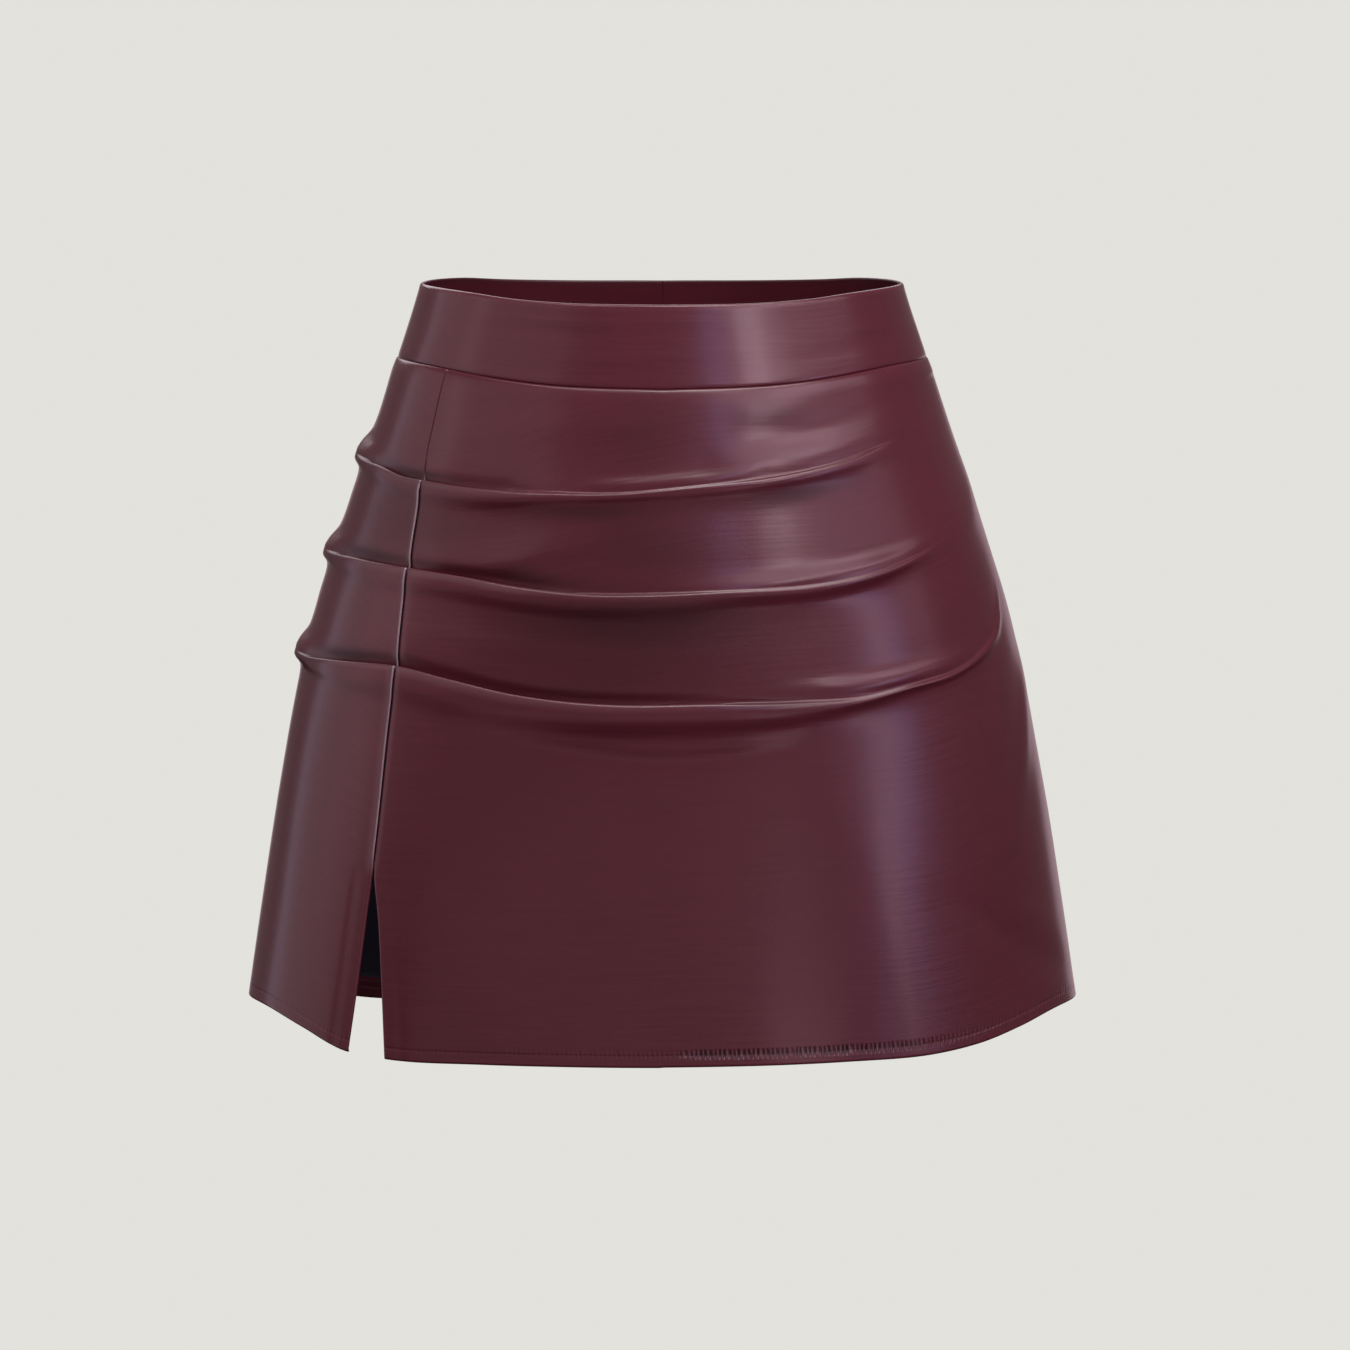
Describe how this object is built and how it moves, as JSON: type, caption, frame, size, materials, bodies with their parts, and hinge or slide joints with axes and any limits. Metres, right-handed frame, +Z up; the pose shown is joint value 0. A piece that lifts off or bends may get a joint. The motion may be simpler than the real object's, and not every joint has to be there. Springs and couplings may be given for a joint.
{
  "type": "leather skirt",
  "caption": "Hollow high-waisted A-line mini skirt in glossy faux leather, with draped pleats across the front, a side-front slit and a concealed back zip whose pull tab swings.",
  "frame": {"origin": "centre of the waist opening, level with the band's top edge at the centre front", "axes": "+X towards the wearer's left, +Y towards the back, +Z up out of the waist; the front faces -Y"},
  "size_m": [0.4239, 0.2501, 0.3843],
  "materials": {
    "burgundy_leather": "glossy burgundy faux leather",
    "zip_tape": "woven polyester tape",
    "zip_metal": "dark lacquered zinc",
    "hook_metal": "nickel-plated steel"
  },
  "bodies": {
    "skirt": {"waistband_front": "burgundy_leather", "waistband_back_left": "burgundy_leather", "waistband_back_right": "burgundy_leather", "front_panel": "burgundy_leather", "side_front_panel": "burgundy_leather", "back_panel_left": "burgundy_leather", "back_panel_right": "burgundy_leather", "zip_tape_left": "zip_tape", "zip_tape_right": "zip_tape", "zip_slider": "zip_metal", "band_hook": "hook_metal", "band_bar": "hook_metal"},
    "zip_pull": {"zip_pull": "zip_metal"}
  },
  "joints": [
    {"name": "pull_swing", "type": "hinge", "parent": "skirt", "child": "zip_pull", "pos_m": [0, 0.10202, -0.0479], "axis": [1, 0, 0], "range_deg": [0, 150]}
  ]
}
